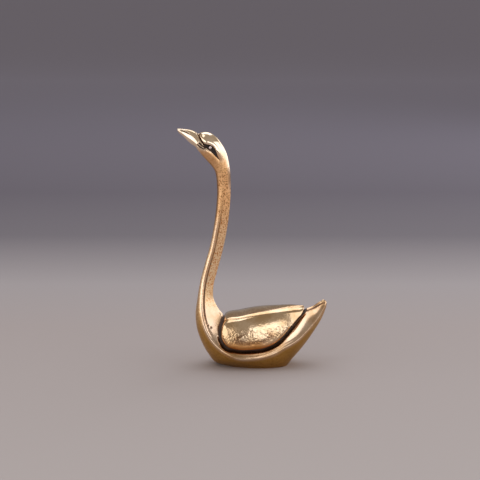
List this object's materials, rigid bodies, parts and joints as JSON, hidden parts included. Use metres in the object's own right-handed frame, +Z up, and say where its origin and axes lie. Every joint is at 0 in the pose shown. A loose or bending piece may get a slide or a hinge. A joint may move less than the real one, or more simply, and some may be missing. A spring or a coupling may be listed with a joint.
{
  "type": "swan figurine",
  "caption": "Small standing swan ornament in antiqued brass, with an S-shaped neck, raised bill, folded wings set in a dark groove, upswept tail and a flat foot.",
  "frame": {"origin": "on the floor under the foot, midway between bill tip and tail tip and between the two sides", "axes": "+Z up from the foot to the head, -X towards the bill, +X towards the tail, -Y the bird's left side"},
  "size_m": [0.0374, 0.015, 0.0598],
  "materials": {
    "polished_brass": "cast brass, polished by hand, brown patina left in the recesses",
    "cast_brass": "sandy as-cast brass skin, rubbed bright on its edges",
    "dark_brass": "patinated dark brown with a polished crown",
    "drawn_brass": "drawn rod, hidden inside"
  },
  "bodies": {
    "root": {"hull": "polished_brass", "left_wing": "polished_brass", "right_wing": "polished_brass", "front_wing_pin": "drawn_brass", "rear_wing_pin": "drawn_brass", "neck": "cast_brass", "neck_dowel": "drawn_brass", "head": "polished_brass", "head_dowel": "drawn_brass", "bill": "polished_brass", "bill_pin": "drawn_brass", "left_eye": "dark_brass", "right_eye": "dark_brass"}
  },
  "joints": []
}
